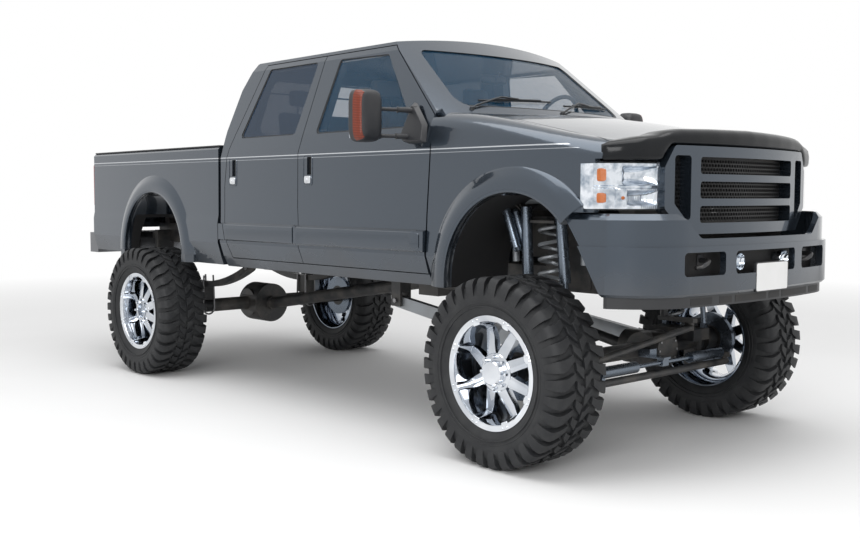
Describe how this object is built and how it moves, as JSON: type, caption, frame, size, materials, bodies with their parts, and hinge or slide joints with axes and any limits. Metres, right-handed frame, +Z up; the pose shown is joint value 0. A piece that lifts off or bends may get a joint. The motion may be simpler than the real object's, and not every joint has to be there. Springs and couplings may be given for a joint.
{
  "type": "lifted pickup truck",
  "caption": "Crew-cab pickup truck with a short load bed, raised suspension, deep wheels and large mud tyres; doors, hood, tailgate, wheels and steering move.",
  "frame": {"origin": "on the ground under the middle of the overall box", "axes": "+X forward along the truck, +Y to its left, +Z up"},
  "size_m": [6.1818, 2.678, 2.4366],
  "materials": {
    "paint": "dark grey metallic gloss",
    "tinted_glass": "tinted, glossy",
    "chrome": "polished",
    "brushed_metal": "satin",
    "tyre": "worn, dusty",
    "chassis_black": "satin black, dusty",
    "grey_steel": "satin grey",
    "cast_block": "rough",
    "black_plastic": "grained",
    "gloss_black": "smoked gloss",
    "lamp_clear": "clear lens over a chrome reflector",
    "lamp_red": "red lens",
    "seat_cover": "matte"
  },
  "bodies": {
    "chassis": {"frame": "chassis_black", "cab_shell": "paint", "cab_glass": "tinted_glass", "bed_box": "paint", "fenders": "paint", "grille_surround": "paint", "grille_mesh": "black_plastic", "head_lamps": "lamp_clear", "tail_lamps": "lamp_red", "nose_carrier": "black_plastic", "front_bumper": "paint", "front_valance": "black_plastic", "rear_bumper": "chrome", "front_axle": "chassis_black", "rear_axle": "chassis_black", "radius_arms": "grey_steel", "coil_springs": "grey_steel", "shocks": "brushed_metal", "leaf_springs": "chassis_black", "driveshafts": "chassis_black", "powertrain": "cast_block", "fuel_tank": "black_plastic", "seats": "seat_cover", "dashboard": "black_plastic", "damper_bracket": "brushed_metal"},
    "hood_lid": {"hood": "paint", "hood_deflector": "gloss_black"},
    "tailgate_lid": {"tailgate": "paint"},
    "door_fr": {"door_front_right": "paint", "glass_front_right": "tinted_glass", "mirror_right": "black_plastic"},
    "door_fl": {"door_front_left": "paint", "glass_front_left": "tinted_glass", "mirror_left": "black_plastic"},
    "door_rr": {"door_rear_right": "paint", "glass_rear_right": "tinted_glass"},
    "door_rl": {"door_rear_left": "paint", "glass_rear_left": "tinted_glass"},
    "steer_right": {"knuckle_right": "chassis_black"},
    "steer_left": {"knuckle_left": "chassis_black"},
    "steer_link": {"tie_rod": "chassis_black", "drag_link": "chassis_black", "damper_barrels": "brushed_metal"},
    "steer_damper": {"damper_rods": "brushed_metal"},
    "pitman": {"drop_arm": "chassis_black"},
    "hand_wheel": {"steering_wheel": "black_plastic"},
    "wheel_fr": {"rim_front_right": "chrome", "tyre_front_right": "tyre"},
    "wheel_fl": {"rim_front_left": "chrome", "tyre_front_left": "tyre"},
    "wheel_rr": {"rim_rear_right": "chrome", "tyre_rear_right": "tyre"},
    "wheel_rl": {"rim_rear_left": "chrome", "tyre_rear_left": "tyre"}
  },
  "joints": [
    {"name": "door_front_right", "type": "hinge", "parent": "chassis", "child": "door_fr", "pos_m": [1.518, -0.985, 1.4], "axis": [0, 0, 1], "range_deg": [0, 65]},
    {"name": "door_front_left", "type": "hinge", "parent": "chassis", "child": "door_fl", "pos_m": [1.518, 0.985, 1.4], "axis": [0, 0, -1], "range_deg": [0, 65]},
    {"name": "door_rear_right", "type": "hinge", "parent": "chassis", "child": "door_rr", "pos_m": [0.315, -0.985, 1.4], "axis": [0, 0, 1], "range_deg": [0, 65]},
    {"name": "door_rear_left", "type": "hinge", "parent": "chassis", "child": "door_rl", "pos_m": [0.315, 0.985, 1.4], "axis": [0, 0, -1], "range_deg": [0, 65]},
    {"name": "hood", "type": "hinge", "parent": "chassis", "child": "hood_lid", "pos_m": [1.566, 0, 1.925], "axis": [0, -1, 0], "range_deg": [0, 50]},
    {"name": "tailgate", "type": "hinge", "parent": "chassis", "child": "tailgate_lid", "pos_m": [-2.856, 0, 1.249], "axis": [0, -1, 0], "range_deg": [0, 90]},
    {"name": "steer", "type": "hinge", "parent": "chassis", "child": "steer_right", "pos_m": [2.166, -0.765, 0.508], "axis": [0, 0, 1], "range_deg": [-28, 28]},
    {"name": "steer_left", "type": "hinge", "parent": "chassis", "child": "steer_left", "pos_m": [2.166, 0.765, 0.508], "axis": [0, 0, 1], "range_deg": [-28, 28]},
    {"name": "tie_rod_turn", "type": "hinge", "parent": "steer_right", "child": "steer_link", "pos_m": [2.366, -0.765, 0.44], "axis": [0, 0, 1], "range_deg": [-28, 28]},
    {"name": "damper_slide", "type": "slide", "parent": "steer_link", "child": "steer_damper", "axis": [0, 1, 0], "range_m": [-0.097, 0.097]},
    {"name": "drop_arm_turn", "type": "hinge", "parent": "chassis", "child": "pitman", "pos_m": [2.166, 0.395, 0.7], "axis": [0, 0, 1], "range_deg": [-28, 28]},
    {"name": "hand_wheel_turn", "type": "hinge", "parent": "chassis", "child": "hand_wheel", "pos_m": [1.186, 0.48, 1.95], "axis": [0.8829, 0, -0.4695], "range_deg": [-480, 480]},
    {"name": "wheel_front_right", "type": "hinge", "parent": "steer_right", "child": "wheel_fr", "pos_m": [2.166, -0.99, 0.508], "axis": [0, 1, 0], "continuous": true},
    {"name": "wheel_front_left", "type": "hinge", "parent": "steer_left", "child": "wheel_fl", "pos_m": [2.166, 0.99, 0.508], "axis": [0, 1, 0], "continuous": true},
    {"name": "wheel_rear_right", "type": "hinge", "parent": "chassis", "child": "wheel_rr", "pos_m": [-1.801, -0.974, 0.508], "axis": [0, 1, 0], "continuous": true},
    {"name": "wheel_rear_left", "type": "hinge", "parent": "chassis", "child": "wheel_rl", "pos_m": [-1.801, 0.974, 0.508], "axis": [0, 1, 0], "continuous": true}
  ],
  "couplings": [
    {"joint": "steer_left", "follows": "steer", "ratio": 1},
    {"joint": "tie_rod_turn", "follows": "steer", "ratio": -1},
    {"joint": "damper_slide", "follows": "steer", "m_per_rad": -0.196},
    {"joint": "drop_arm_turn", "follows": "steer", "ratio": 1},
    {"joint": "hand_wheel_turn", "follows": "steer", "ratio": -17}
  ]
}
